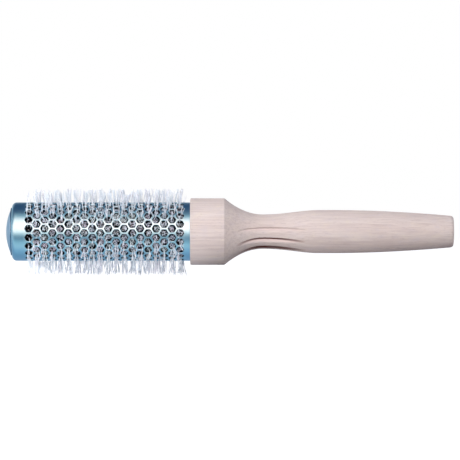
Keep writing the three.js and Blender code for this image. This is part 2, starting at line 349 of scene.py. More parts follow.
class Finish(Tree):
    """A material round one Principled shader."""

    def __init__(self, name, **plain):
        self.material = bpy.data.materials.new(name)
        self.material.use_nodes = True
        super().__init__(self.material.node_tree)
        self.shader = self.nodes["Principled BSDF"]
        for label, value in plain.items():
            self.set(label.replace("_", " "), value)

    def set(self, label, value):
        self.feed(self.shader.inputs[label], value)

    def object_place(self):
        return self.out(self.node("ShaderNodeTexCoord"), "Object")

    def attribute(self, name):
        """A number that the mesh keeps at each point."""
        return self.out(self.node("ShaderNodeAttribute", attribute_name=name), "Fac")


def noise(tree, place, stretch, detail=2.0, roughness=0.5):
    """Noise from 0 to 1, with its own number of waves a metre along each axis."""
    stretched = tree.result("ShaderNodeMapping", {"Vector": place, "Scale": stretch})
    made = tree.node(
        "ShaderNodeTexNoise",
        {"Vector": stretched, "Scale": 1.0, "Detail": detail, "Roughness": roughness},
    )
    return tree.out(made, "Fac")


def ramp(tree, value, low, high, start=0.0, end=1.0):
    """Carries a range of values over to another range, with soft ends."""
    return tree.result(
        "ShaderNodeMapRange",
        {"Value": value, "From Min": low, "From Max": high, "To Min": start, "To Max": end},
        interpolation_type="SMOOTHSTEP",
    )


def blend(tree, share, first, second):
    """Mixes two colours by a share."""
    colours = {0: share, 6: first, 7: second}  # the node's inputs for a share and two colours
    return tree.out(tree.node("ShaderNodeMix", colours, data_type="RGBA"), 2)


def colour_steps(tree, value, *steps):
    """A colour ramp with these (position, colour) steps."""
    made = tree.node("ShaderNodeValToRGB", {0: value})
    elements = made.color_ramp.elements
    while len(elements) < len(steps):
        elements.new(0.5)
    for element, (position, colour) in zip(elements, steps):
        element.position = position
        element.color = (*colour, 1)
    return tree.out(made)


def bumped(tree, height, depth, strength):
    """A normal raised by a height map that is this many metres deep."""
    return tree.result(
        "ShaderNodeBump", {"Height": height, "Distance": depth, "Strength": strength}
    )


def from_middle_line(tree, place):
    """How far a place is from the brush's middle line."""
    _, y, z = tree.parts(place)
    return (y * y + z * z).root()


def handling_marks():
    """A group of shader nodes: faint smudges and fine scuffs, as every smooth piece has."""
    group = bpy.data.node_groups.new("handling_marks", "ShaderNodeTree")
    for title, kind, side in (
        ("Place", "place", "INPUT"),
        ("Size", "size", "INPUT"),
        ("Smudge", "mask", "OUTPUT"),
        ("Scuff", "mask", "OUTPUT"),
    ):
        new_socket(group, title, kind, side)
    tree = Tree(group)
    entry = tree.node("NodeGroupInput")
    size = tree.point(*[tree.out(entry, "Size")] * 3)
    place = tree.result(
        "ShaderNodeVectorMath", {0: tree.out(entry, "Place"), 1: size}, operation="DIVIDE"
    )
    smudge = ramp(tree, noise(tree, place, (1, 1, 1), 3, 0.6), 0.35, 0.7)
    scuff = ramp(tree, noise(tree, place, (4, 17, 17), 4, 0.7), 0.56, 0.72)
    tree.node("NodeGroupOutput", {"Smudge": smudge, "Scuff": scuff})
    return group


HANDLING_MARKS = handling_marks()


def marks(finish, size):
    """The smudges and scuffs, at a size in metres."""
    made = finish.node("ShaderNodeGroup", node_tree=HANDLING_MARKS)
    finish.feed(made.inputs["Place"], finish.object_place())
    finish.feed(made.inputs["Size"], size)
    return finish.out(made, "Smudge"), finish.out(made, "Scuff")


def whitewashed_beech():
    """Pale beech under a thin white wash: fine streaks, short dark flecks, faint growth rings.

    The wood is paler where it is carved, partly as fresher wood and partly as a painted highlight
    on the lit ramps, and painted shade darkens the grooves' corners.
    """
    wood = Finish("whitewashed_beech", Roughness=0.62, Specular_IOR_Level=0.3)
    place = wood.object_place()
    broad = noise(wood, place, (9, 70, 70), 3)
    fine = noise(wood, place, (34, 1500, 1500), 4, 0.7)
    streaks = noise(wood, place, (26, 900, 900), 5, 0.7) * 0.5 + fine * 0.5
    flecks = ramp(wood, noise(wood, place, (420, 2600, 2600), 2), 0.62, 0.72)
    mottle = noise(wood, place, (150, 330, 330), 3, 0.6)
    from_pith = wood.result(
        "ShaderNodeMapping",
        {"Vector": place, "Location": (0, 0.052, 0.021), "Rotation": (0, 0.035, 0.06)},
    )
    rings = wood.node(
        "ShaderNodeTexWave",
        {
            "Vector": from_pith,
            "Scale": 115.0,
            "Distortion": 2.5,
            "Detail": 3.0,
            "Detail Scale": 0.6,
            "Detail Roughness": 0.6,
        },
        wave_type="RINGS",
        rings_direction="X",
        wave_profile="SAW",
    )
    carved = wood.attribute("carved")
    smudge, scuff = marks(wood, 14 * MM)
    colour = blend(
        wood, ramp(wood, broad, 0.3, 0.7), (0.70, 0.585, 0.53, 1), (0.755, 0.655, 0.60, 1)
    )
    for share, tint in (
        (ramp(wood, mottle, 0.52, 0.72, 0, 0.5), (0.77, 0.665, 0.555, 1)),  # yellower patches
        (ramp(wood, mottle, 0.48, 0.3, 0, 0.4), (0.66, 0.575, 0.585, 1)),  # greyer patches
        (wood.out(rings, "Fac") * 0.16, (0.60, 0.47, 0.40, 1)),
        (ramp(wood, streaks, 0.44, 0.64, 0, 0.7), (0.55, 0.44, 0.405, 1)),
        (flecks * 0.35, (0.42, 0.32, 0.29, 1)),
        # paler where carved: partly fresher wood, partly a painted highlight on the grooves' lit
        # ramps
        ((carved * 1.8).at_most(1.0) * 0.9, (0.98, 0.77, 0.71, 1)),
        # painted shade in the grooves' corners, where the overhang shades the ramp
        (wood.attribute("corner"), (0.085, 0.018, 0.010, 1)),
        (smudge * 0.12, (0.62, 0.54, 0.53, 1)),
    ):
        colour = blend(wood, share, colour, tint)
    wood.set("Base Color", colour)
    wood.set("Roughness", ramp(wood, streaks, 0.3, 0.7, 0.55, 0.72))
    height = streaks - flecks * 0.8 - scuff * 0.3
    wood.set("Normal", bumped(wood, height, 0.05 * MM, 0.8))
    return wood.material


def anodised_aluminium():
    """Satin blue anodising, paler round the holes as rubbed wear and painted highlight; painted
    shade in them and inside.
    """
    metal = Finish("anodised_aluminium", Metallic=1.0)
    place = metal.object_place()
    cloud = noise(metal, place, (60, 60, 60), 3)
    drawn = noise(metal, place, (90, 2400, 2400), 3, 0.7)
    smudge, scuff = marks(metal, 9 * MM)
    colour = blend(metal, cloud, (0.28, 0.55, 0.71, 1), (0.32, 0.60, 0.75, 1))
    # paler round the holes: partly wear where the anodising is rubbed thin, partly a painted
    # highlight on the bevels
    colour = blend(metal, metal.attribute("rim_wear_and_highlight") * 0.35, colour, (0.44, 0.70, 0.78, 1))
    colour = blend(metal, scuff * 0.12, colour, (0.62, 0.72, 0.80, 1))
    # only the outside is blue: the skin of the barrel, and its shoulder, which curves inwards
    inside, outside = BARREL_RADIUS - 0.8 * MM, BARREL_RADIUS - HOLE_BEVEL
    skin = ramp(metal, from_middle_line(metal, place), inside, outside)
    along = metal.parts(place)[0]
    shoulder = ramp(metal, along, shoulder_x, shoulder_x + 1 * MM, 1.0, 0.0)
    shown = skin.at_least(shoulder)
    # inside the barrel and down its holes the near-black colour is painted shade
    metal.set("Base Color", blend(metal, shown, (0.03, 0.05, 0.07, 1), colour))
    metal.set("Roughness", ramp(metal, drawn + smudge * 0.3, 0.3, 1.1, 0.32, 0.40))
    metal.set("Normal", bumped(metal, drawn, 0.01 * MM, 0.35))
    return metal.material


def satin(skin, dullest, grain_depth, grain_strength):
    """Gives a moulding its smudges and its fine grain. Gives back how cloudy and how scuffed
    it is."""
    place = skin.object_place()
    cloud = noise(skin, place, (120, 120, 120), 3)
    grain = noise(skin, place, (3500, 3500, 3500), 2)
    smudge, scuff = marks(skin, 7 * MM)
    skin.set("Roughness", ramp(skin, smudge, 0.0, 1.0, 0.36, dullest))
    skin.set("Normal", bumped(skin, grain, grain_depth, grain_strength))
    return cloud, scuff


def moulded_plastic(name, pale, deep):
    """Plain satin plastic."""
    plastic = Finish(name, Specular_IOR_Level=0.5)
    cloud, scuff = satin(plastic, 0.46, 0.012 * MM, 0.6)
    plastic.set("Base Color", blend(plastic, cloud * 0.7 + scuff * 0.2, deep, pale))
    return plastic.material


def metallised_plastic():
    """The cap's satin metallic skin, a little duller and bluer than the barrel."""
    metallic = Finish("metallised_plastic", Metallic=1.0)
    cloud, scuff = satin(metallic, 0.44, 0.008 * MM, 0.5)
    tint = blend(metallic, cloud, (0.225, 0.43, 0.61, 1), (0.25, 0.46, 0.64, 1))
    metallic.set("Base Color", blend(metallic, scuff * 0.15, tint, (0.50, 0.60, 0.68, 1)))
    return metallic.material


def galvanised_wire():
    """Drawn steel wire with a dull zinc skin."""
    wire = Finish("galvanised_wire", Metallic=1.0)
    spangle = noise(wire, wire.object_place(), (500, 500, 500), 3, 0.7)
    wire.set("Base Color", blend(wire, spangle, (0.36, 0.37, 0.39, 1), (0.62, 0.63, 0.65, 1)))
    wire.set("Roughness", ramp(wire, spangle, 0.3, 0.7, 0.32, 0.5))
    wire.set("Normal", bumped(wire, spangle, 0.02 * MM, 0.5))
    return wire.material


TUFT_HUES = (
    (0.0, (0.95, 0.83, 0.96)),
    (0.3, (0.80, 0.85, 1.0)),
    (0.75, (0.80, 0.92, 1.0)),
    (1.0, (0.85, 0.98, 0.95)),
)
LIT_END = 0.9 * MM  # how far light reaches down a strand that ends inside a hole


def bristle_nylon():
    """Milky nylon, white outside the barrel. Inside it only the strands' ends are lit, each
    hole's tuft has its own faint hue, and the rest is lost in the dark."""
    nylon = Finish("bristle_nylon", Specular_IOR_Level=1.0)
    place = nylon.object_place()
    outside = ramp(nylon, from_middle_line(nylon, place), 15 * MM, 18 * MM)
    near_end = ramp(nylon, nylon.attribute("below_end"), 0.0, LIT_END, 1.0, 0.0)
    tone = nylon.attribute("tone")
    cloud = noise(nylon, place, (900, 900, 900), 2)
    tuft_hue = colour_steps(nylon, nylon.attribute("tuft_tone"), *TUFT_HUES)
    lit = (near_end * (0.75 + tone * 1.2)).at_most(1.0)
    inner = blend(nylon, lit, (0.03, 0.03, 0.045, 1), tuft_hue)
    clean = blend(nylon, tone * 0.7 + cloud * 0.3, (0.90, 0.95, 1.0, 1), (0.97, 0.99, 1.0, 1))
    outer = blend(nylon, 0.2, clean, tuft_hue)
    nylon.set("Base Color", blend(nylon, outside, inner, outer))
    nylon.set("Roughness", ramp(nylon, cloud, 0.3, 0.7, 0.3, 0.45))
    return nylon.material


# ---- turned pieces


def bezier(points, count):
    """Points along the curve of any degree that these control points lead."""
    shares = np.linspace(0, 1, count)[:, None]
    curves = [np.repeat([point], count, axis=0) for point in np.array(points, float)]
    while len(curves) > 1:
        curves = [a * (1 - shares) + b * shares for a, b in zip(curves, curves[1:])]
    return curves[0]


def arc(centre, radius, start, end, count):
    """Points of (x, radius) on a round edge; the angles are in degrees from +X."""
    angles = np.radians(np.linspace(start, end, count))
    return np.array(centre) + radius * np.column_stack((np.cos(angles), np.sin(angles)))


def joined(*runs):
    """Runs of profile points as one, without the points that they share."""
    points = np.vstack(runs)
    apart = np.linalg.norm(np.diff(points, axis=0), axis=1) > 1e-7
    return points[np.concatenate(([True], apart))]


def placed(x, radius, angle):
    """Points round the brush's middle line."""
    return np.stack((x, -radius * np.cos(angle), radius * np.sin(angle)), axis=-1)


def smooth(mesh, sharp_above, merge_within=0.0):
    """Turns all faces outwards and smooths them, but for edges that turn by more than this many
    degrees. Before that, corners that lie this close together are merged."""
    shell = bmesh.new()
    shell.from_mesh(mesh)
    if merge_within:
        bmesh.ops.remove_doubles(shell, verts=shell.verts, dist=merge_within)
    bmesh.ops.recalc_face_normals(shell, faces=shell.faces)
    shell.to_mesh(mesh)
    shell.free()
    mesh.shade_smooth()
    mesh.set_sharp_from_angle(angle=math.radians(sharp_above))


def smooth_mesh(name, corners, faces, sharp_above=35):
    """A smooth mesh from its corners and faces."""
    mesh = bpy.data.meshes.new(name)
    mesh.from_pydata(corners.tolist(), [], faces)
    smooth(mesh, sharp_above)
    return mesh


def turned_faces(rings, sides, closed=False):
    """Faces between rings of corners; a ring that is a pole is a single corner."""
    faces = []
    following = rings[1:] + rings[:1] if closed else rings[1:]
    for near, far in zip(rings, following):
        for k in range(sides):
            n = (k + 1) % sides
            corners = (near, k), (near, n), (far, n), (far, k)
            faces.append(list(dict.fromkeys(ring[i % len(ring)] for ring, i in corners)))
    return faces


def ring_numbers(rows):
    """The numbers of the corners in each of these rows."""
    ends = np.cumsum([len(row) for row in rows]).tolist()
    return [range(end - len(row), end) for row, end in zip(rows, ends)]


def pole_or(sides, radius):
    """How many corners a ring has: all its sides, or one at the middle line."""
    return 1 if radius < 1e-9 else sides


def turned(name, profile, sides=96, closed=False):
    """A mesh turned from a profile of (x, radius) points, with its poles closed."""
    rows = []
    for x, radius in profile:
        angles = np.arange(pole_or(sides, radius)) * 2 * math.pi / sides
        rows.append(placed(np.full(len(angles), x), radius, angles))
    return smooth_mesh(name, np.vstack(rows), turned_faces(ring_numbers(rows), sides, closed))


# ---- handle

# Long tapered grooves are cut round the neck, in two groups of three. Each has a steep wall
# along its upper line, and a ramp that runs out of the wood below it. Each has an angle, a share
# of the full depth, the strength of the painted shade along its line, and the degrees below the
# line where that painted shade starts and ends to fade.
GROOVES = [(13.5, 0.27, 0.6, (1.2, 4)), (-20.5, 1.0, 1.0, (6, 9)), (-54.5, 1.0, 1.0, (15, 21))]
GROOVE_GROUPS = (0, 180)
GROOVE_MIDDLE_X = -109.1 * MM
GROOVE_TO_TIP = 17.4 * MM
GROOVE_TO_GRIP = 23.4 * MM
GROOVE_DROP_TO_TIP = 13.5  # degrees that the line falls towards its end
GROOVE_DROP_TO_GRIP = 8
GROOVE_BEND = 2.2
GROOVE_RAMP = 18  # degrees, at the middle
GROOVE_DEPTH = 1.6 * MM
GROOVE_RUN_OUT = 0.6
HANDLE_COLUMNS = 360
INSIDE_POINTS = 5  # the last points of the handle's profile, which are its bores
HANDLE_SHARP_ABOVE = 18  # degrees


def handle_profile():
    """The handle's outline from its flat end to the collar, then the bores inside it."""
    belt_x = -GRIP_TAPER_LENGTH
    waist_x = belt_x - BELLY_LENGTH
    neck_x = waist_x - WAIST_LENGTH
    collar_x = neck_x - FLARE_LENGTH
    end_side = (-END_FILLET, END_RADIUS)
    taper_bend = (belt_x * GRIP_TAPER_BEND, GRIP_RADIUS)
    flare_end = (collar_x + COLLAR_EDGE, COLLAR_RADIUS - COLLAR_EDGE * COLLAR_EDGE_DROP)
    waist = [
        (waist_x, GRIP_RADIUS),
        (waist_x - WAIST_LENGTH * WAIST_ROUNDING, GRIP_RADIUS),
        (neck_x + WAIST_LENGTH * WAIST_HOLLOW, NECK_RADIUS),
        (neck_x, NECK_RADIUS),
    ]
    flare = [(neck_x, NECK_RADIUS), (neck_x - FLARE_LENGTH * FLARE_HOLLOW, NECK_RADIUS), flare_end]
    rounding_centre = (collar_face_x + COLLAR_ROUNDING, COLLAR_RADIUS - COLLAR_ROUNDING)
    seat_floor_x = collar_face_x + SEAT_DEPTH
    bore_floor_x = seat_floor_x + WIRE_BORE_DEPTH
    return joined(
        [(0, 0)],
        bezier([(0, END_RADIUS - END_FILLET), (0, END_RADIUS), end_side], 9),
        bezier([end_side, taper_bend, (belt_x, GRIP_RADIUS)], 24),
        bezier(waist, 64),
        bezier(flare, 48),
        [(collar_x - COLLAR_EDGE, COLLAR_RADIUS)],
        arc(rounding_centre, COLLAR_ROUNDING, 90, 180, 7),
        [
            (collar_face_x, SEAT_RADIUS),
            (seat_floor_x, SEAT_RADIUS),
            (seat_floor_x, WIRE_BORE_RADIUS),
            (bore_floor_x, WIRE_BORE_RADIUS),
            (bore_floor_x, 0),
        ],
    )


def groove_course(x):
    """How far along its length a groove is at x, from 0 at its middle to 1 at either end, and
    how many degrees its line has dropped there."""
    to_tip = x < GROOVE_MIDDLE_X
    length = GROOVE_TO_TIP if to_tip else GROOVE_TO_GRIP
    drop = GROOVE_DROP_TO_TIP if to_tip else GROOVE_DROP_TO_GRIP
    share = min(abs(x - GROOVE_MIDDLE_X) / length, 1)
    waver = 0.22 * np.sin(x / MM * 1.9) + 0.16 * np.sin(x / MM * 4.3 + 1)
    return share, drop * share**GROOVE_BEND + waver * (1 - share)


def groove_cut(share, below, shade_fade):
    """How deep the cut is for points this many degrees below its line, and how much painted shade
    they get.
    """
    run_out = np.maximum(1 - share**2, 0) ** GROOVE_RUN_OUT
    ramp_width = np.maximum(GROOVE_RAMP * run_out, 1e-6)  # never 0, as it divides
    inside = (below >= 0) & (below <= ramp_width)
    carved = np.where(inside, (1 - below / ramp_width) * run_out, 0)
    fading = np.clip((shade_fade[1] - below) / (shade_fade[1] - shade_fade[0]), 0, 1)
    return carved, np.where(inside, fading * run_out, 0)


def handle_mesh():
    """The turned handle with its grooves. Its columns of corners follow the grooves' lines."""
    profile = handle_profile()
    rows, carved_rows, corner_shade_rows = [], [], []
    for number, (x, radius) in enumerate(profile):
        angles = np.arange(pole_or(HANDLE_COLUMNS, radius)) * 360 / HANDLE_COLUMNS
        share, drop = groove_course(x)
        carved = np.zeros(len(angles))
        # corner: painted shade in the grooves' corners, kept as the mesh's corner numbers
        corner = np.zeros(len(angles))
        if share < 1 and number < len(profile) - INSIDE_POINTS:
            for group in GROOVE_GROUPS:
                for line, depth_share, shade_strength, shade_fade in GROOVES:
                    below = (group + line - angles + 180) % 360 - 180
                    cut, dark = groove_cut(share, below, shade_fade)
                    carved = np.maximum(carved, cut * depth_share)
                    corner = np.maximum(corner, dark * shade_strength)
        left = radius - GROOVE_DEPTH * carved
        rows.append(placed(np.full(len(angles), x), left, np.radians(angles - drop)))
        carved_rows.append(carved)
        corner_shade_rows.append(corner)
    faces = turned_faces(ring_numbers(rows), HANDLE_COLUMNS)
    mesh = smooth_mesh("handle_wood", np.vstack(rows), faces, HANDLE_SHARP_ABOVE)
    for name, values in (("carved", carved_rows), ("corner", corner_shade_rows)):
        attribute = mesh.attributes.new(name, "FLOAT", "POINT")
        attribute.data.foreach_set("value", np.concatenate(values))
    return mesh


# ---- perforated barrel

CELL_STEPS = 18  # edges round a honeycomb cell, three to a side
SIDE_TURN = math.pi / 3
BAND_MARGIN = 0.4 * MM  # between the outer corners of the cells and the first ring of a band
BARREL_SHARP_ABOVE = 30  # degrees
SEAM_GAP = 0.003 * MM  # corners of neighbouring cells lie closer together than this


def cell_outline(turns):
    """Points of a honeycomb cell's outline at these turns round it: along the brush, and round
    it as an angle. The cell's corners point along the brush."""
    reach = math.cos(SIDE_TURN / 2) / np.cos(turns % SIDE_TURN - SIDE_TURN / 2)
    along = reach * np.cos(turns) * cell_half_length
    around = reach * np.sin(turns) / math.cos(SIDE_TURN / 2) * hole_step / 2
    return along, around


def band_edge(column_x, first_angle, middle_turn):
    """The zigzag edge that a plain band shares with a column's cells, as x and angle."""
    half = CELL_STEPS // 6
    turns = middle_turn + np.arange(-half, half) * 2 * math.pi / CELL_STEPS
    along, around = cell_outline(turns)
    order = np.argsort(around)
    holes = np.arange(HOLES_AROUND)[:, None] * hole_step
    angles = (first_angle + holes + around[order]).ravel()
    return np.tile(column_x + along[order], HOLES_AROUND), angles


def barrel_bands():
    """The barrel's plain bands, open where the perforated wall joins them."""
    inner_radius = BARREL_RADIUS - BARREL_WALL
    arc_radius = BARREL_RADIUS - SHOULDER_RADIUS
    half_wall = BARREL_WALL / 2
    tip_band_x = first_column_x - cell_half_length - BAND_MARGIN
    rear_band_x = last_column_x + cell_half_length + BAND_MARGIN
    tip_edge = band_edge(first_column_x, FIRST_HOLE_ANGLE, math.pi)
    tip_profile = joined(
        [(tip_band_x, BARREL_RADIUS)],
        arc((shoulder_x, arc_radius), SHOULDER_RADIUS, 90, 180, 12),
        arc((lip_face_x + half_wall, lip_radius + half_wall), half_wall, 180, 360, 7),
        [(lip_face_x + BARREL_WALL, arc_radius)],
        arc((shoulder_x, arc_radius), SHOULDER_RADIUS - BARREL_WALL, 180, 90, 6),
        [(tip_band_x, inner_radius)],
    )
    last_angle = FIRST_HOLE_ANGLE + (HOLE_COLUMNS - 1) % 2 * hole_step / 2
    rear_edge = band_edge(last_column_x, last_angle, 0)
    rear_profile = [
        (rear_band_x, BARREL_RADIUS),
        (barrel_rear_x, BARREL_RADIUS),
        (barrel_rear_x, inner_radius),
        (rear_band_x, inner_radius),
    ]
    rows, faces = [], []
    for (edge_x, angles), profile in ((tip_edge, tip_profile), (rear_edge, rear_profile)):
        band = [placed(edge_x, BARREL_RADIUS, angles)]
        band += [placed(np.full(len(angles), x), radius, angles) for x, radius in profile]
        band += [placed(edge_x, inner_radius, angles)]
        rows += band
        faces += turned_faces(ring_numbers(rows)[-len(band) :], len(angles))
    return smooth_mesh("barrel_bands", np.vstack(rows), faces)


def hole_place(tree, number, first_column=0.0):
    """The column, x and angle of the hole with this number, counted round one column after
    the other from a first one. Every other column is turned by half a step."""
    holes_around = tree.given("holes_around")
    column = ((number + 0.5) / holes_around).floor()
    around_number = number - column * holes_around
    column = column + first_column
    turns = around_number + column.wrapped(2.0) / 2
    angle = tree.given("first_hole_angle") + turns * (2 * math.pi / holes_around)
    return column, tree.given("first_column_x") + column * tree.given("column_pitch"), angle


def perforated_wall():
    """Geometry Nodes: one honeycomb cell with its bevelled hole, placed all round the barrel."""
    tree = Builder(
        "perforated_wall",
        holes_around=HOLES_AROUND,
        columns=HOLE_COLUMNS,
        column_pitch=column_pitch,
        first_column_x=first_column_x,
        first_hole_angle=FIRST_HOLE_ANGLE,
        radius=BARREL_RADIUS,
        wall=BARREL_WALL,
        hole_share=hole_share,
        bevel=HOLE_BEVEL,
        corner_rounding=HOLE_ROUNDING,
        finish=anodised_aluminium(),
    )
    step = 2 * math.pi / tree.given("holes_around")
    radius = tree.given("radius")
    inner_radius = radius - tree.given("wall")
    hole = tree.given("hole_share")
    bevel = tree.given("bevel")

    # the cell starts as a grid: across it the turn round the hole, down it the rings
    rings = 5
    grid = tree.result(
        "GeometryNodeMeshGrid",
        {"Size X": 1.0, "Size Y": 1.0, "Vertices X": CELL_STEPS + 1, "Vertices Y": rings},
    )
    across, down, _ = tree.parts(tree.result("GeometryNodeInputPosition"))
    turn = (across + 0.5) * (2 * math.pi)
    ring = ((down + 0.5) * (rings - 1) + 0.5).floor()

    def by_ring(*values):
        made = tree.node("GeometryNodeIndexSwitch", data_type="FLOAT")
        while len(made.index_switch_items) < len(values):
            made.index_switch_items.new()
        for socket, value in zip(made.inputs, (ring, *values)):
            tree.feed(socket, value)
        return tree.out(made)

    share = by_ring(1.0, hole + bevel / (radius * step / 2), hole, hole, 1.0)
    ring_radius = by_ring(radius, radius, radius - bevel, inner_radius, inner_radius)
    rounding = tree.given("corner_rounding") * by_ring(0.0, 1.0, 1.0, 1.0, 0.0)
    side = turn.wrapped(SIDE_TURN) - SIDE_TURN / 2
    flat = math.cos(SIDE_TURN / 2)
    reach = (flat / side.cos()).at_most(1 - rounding) * share
    along = reach * turn.cos() * (2 / 3) * tree.given("column_pitch")
    around = reach * turn.sin() / flat * step / 2
    place = tree.point(along, -(ring_radius * around.cos()), ring_radius * around.sin())
    cell = tree.result("GeometryNodeSetPosition", {"Geometry": grid, "Position": place})
    # rims: the bevel rings round each hole, which the finish paints paler as wear and as a painted
    # highlight
    rimmed = tree.keep(cell, "rims", by_ring(0.0, 1.0, 1.0, 0.0, 0.0), 0.0, 0.0)

    _, hole_x, hole_angle = hole_place(tree, tree.result("GeometryNodeInputIndex"))
    places = tree.result(
        "GeometryNodePoints",
        {
            "Count": tree.given("holes_around") * tree.given("columns"),
            "Position": tree.point(hole_x, 0.0, 0.0),
        },
    )
    cells = tree.result(
        "GeometryNodeInstanceOnPoints",
        {"Points": places, "Instance": rimmed, "Rotation": tree.point(-hole_angle, 0.0, 0.0)},
    )
    both = tree.node("GeometryNodeJoinGeometry")
    tree.feed(both.inputs[0], tree.given("geometry"))
    tree.feed(both.inputs[0], cells)
    tree.finish(tree.out(both))
    return tree


# ---- threads


def straight_line(tree, points):
    """A line with this many points, which are then moved to their places."""
    line = tree.result("GeometryNodeCurvePrimitiveLine", {"Start": (0, 0, 0), "End": (0, 0, 1)})
    return tree.result("GeometryNodeResampleCurve", {"Curve": line, "Count": points})


def thread_skin(tree, curve, sides, radius, scale=1.0):
    """A thread with closed ends and this many sides, along a curve."""
    section = tree.result(
        "GeometryNodeCurvePrimitiveCircle", {"Resolution": sides, "Radius": radius}, mode="RADIUS"
    )
    return tree.result(
        "GeometryNodeCurveToMesh",
        {"Curve": curve, "Profile Curve": section, "Scale": scale, "Fill Caps": True},
    )


# ---- bristles

STRAND_POINTS, STRAND_SIDES = 6, 3
STRAND_THINNING = (0.85, 1.0, 1.0, 0.7)  # over its last part a strand thins to 0.7
TRIM_BIAS = 1.4  # above 1, more of the long strands end near the longest
# How far below the barrel's skin the short strands end, as shares of its radius: all those of
# a hole alike, and each on its own.
SUNK_TOGETHER, SUNK_ALONE = (0.0, 0.07), (0.02, 0.08)
OWN_LEAN = 0.45  # share of the splay by which a strand leans on its own, beside its clump
OUTWARD_LEAN = 0.25  # share of a strand's way off its hole's middle that it leans out further
CLUMP_BEND = 0.3  # share of the splay by which a clump bends at most
MORE_LONG_ONES = 0.15  # how much fuller of long strands than of short ones the first column is
NO_LIMIT = 100


def bristle_tufts():
    """Geometry Nodes: tufts of nylon strands that grow from the wires out through the holes.

    Each strand is a straight line first. Its own random lean, reach and bend are kept with it,
    and carry every point of it to its place.
    """
    tree = Builder(
        "bristle_tufts",
        holes_around=HOLES_AROUND,
        columns=HOLE_COLUMNS // BRISTLE_NODES,
        first_column=0,
        strands_in_hole=44,
        fewest_long_strands=0.14,
        most_long_strands=0.31,
        first_column_fullness=0.1,
        column_pitch=column_pitch,
        first_column_x=first_column_x,
        first_hole_angle=FIRST_HOLE_ANGLE,
        root_radius=WIRE_CORE_RADIUS + 0.2 * MM,
        barrel_radius=BARREL_RADIUS,
        reach=STRAND_REACH,
        trim_unevenness=1.1 * MM,
        hole_radius=1.85 * MM,
        tuft_radius=1.8 * MM,
        hole_slack=0.5 * MM,
        clumps_in_hole=3,
        clump_radius=0.1 * MM,
        splay=1.4 * MM,
        strand_radius=0.19 * MM,
        stub_thickening=0.9,
        seed=0,
        finish=bristle_nylon(),
    )
    tree.finish(strand_skins(tree, planned_strands(tree)))
    return tree


def planned_strands(tree):
    """A point for each strand, with the numbers that shape it kept under these names: hole is
    its hole's x and angle and how far out it ends, section is its thickness, through is where
    it passes its hole and where its root is, and beyond is how it leans and bends outside."""
    strands_in_hole = tree.given("strands_in_hole")
    seed = tree.given("seed")
    number = tree.result("GeometryNodeInputIndex")
    hole = ((number + 0.5) / strands_in_hole).floor()
    column, hole_x, hole_angle = hole_place(tree, hole, tree.given("first_column"))

    # the short strands end inside the barrel or just in its holes
    long_share = tree.random(
        tree.given("fewest_long_strands"), tree.given("most_long_strands"), seed + 11, hole
    )
    short = tree.math("GREATER_THAN", tree.random(0.0, 1.0, seed + 3), long_share)

    def in_disc(spread, first_seed, number=None):
        """A place in a round section, evenly spread, along the brush and round it."""
        off_middle = spread * tree.random(0.0, 1.0, first_seed, number).root()
        off_angle = tree.random(0.0, 2 * math.pi, first_seed + 1, number)
        return off_middle * off_angle.cos(), off_middle * off_angle.sin()

    # where a strand passes through its hole: short ones in a bundle, long ones in tight clumps
    clump_radius = tree.given("clump_radius")
    clumps_in_hole = tree.given("clumps_in_hole")
    clump = hole * clumps_in_hole + (tree.random(0.0, 1.0, seed + 13) * clumps_in_hole).floor()
    clump_at = in_disc(tree.given("hole_radius") - clump_radius, seed + 14, clump)
    in_clump = in_disc(clump_radius, seed + 16)
    anywhere = in_disc(tree.given("tuft_radius"), seed + 1)
    off_centre = in_disc(tree.given("hole_slack"), seed + 22, hole)
    through_along, through_around = [
        middle + strand + short * (free + shift - middle - strand)
        for middle, strand, free, shift in zip(clump_at, in_clump, anywhere, off_centre)
    ]

    # how far out it ends: long ones at the uneven trim, short ones a little below the holes
    trim = tree.given("trim_unevenness") * tree.random(0.0, 1.0, seed + 4).power(TRIM_BIAS)
    sunk = tree.random(*SUNK_TOGETHER, seed + 21, hole) + tree.random(*SUNK_ALONE, seed + 5)
    cut_short = tree.given("barrel_radius") * (1.0 - sunk)
    full = tree.given("reach") - trim
    tip = full + short * (cut_short - full)

    # a clump leans and bends as one, and each strand in it leans a little on its own and away
    # from the hole's middle; in the first column none leans out over the tip
    splay = tree.given("splay")
    lean_along, lean_around = in_disc(splay * OWN_LEAN, seed + 18)
    is_first = tree.math("LESS_THAN", column, 0.5)
    leaning_along = splay * tree.random(-1.0, 1.0, seed + 7, clump)
    beyond_along = leaning_along + through_along * OUTWARD_LEAN + lean_along
    beyond_along = beyond_along.at_least((is_first - 1.0) * NO_LIMIT)
    root = tree.random(-1.0, 1.0, seed + 6)
    leaning_around = splay * tree.random(-1.0, 1.0, seed + 8, clump)
    beyond_around = leaning_around + through_around * OUTWARD_LEAN + lean_around
    bend = splay * tree.random(-CLUMP_BEND, CLUMP_BEND, seed + 9, clump)
    tone = tree.random(0.0, 1.0, seed + 10)
    tuft_tone = tree.random(0.0, 1.0, seed + 20, hole)

    thickness = tree.given("strand_radius") * (1.0 + short * tree.given("stub_thickening"))
    count = strands_in_hole * tree.given("holes_around") * tree.given("columns")
    strands = tree.result("GeometryNodePoints", {"Count": count})
    for name, values in (
        ("hole", (hole_x, hole_angle, tip)),
        ("section", (thickness, 0.0, 0.0)),
        ("through", (through_along, through_around, root)),
        ("beyond", (beyond_along, beyond_around, bend)),
        ("tones", (tone, tuft_tone, 0.0)),
    ):
        strands = tree.keep(strands, name, *values)

    # the first column has few strands of either kind
    first_share = tree.given("first_column_fullness") + (1.0 - short) * MORE_LONG_ONES
    left_out = tree.math("GREATER_THAN", tree.random(0.0, 1.0, seed + 12), first_share)
    return tree.result(
        "GeometryNodeDeleteGeometry",
        {"Geometry": strands, "Selection": is_first * left_out},
        domain="POINT",
    )


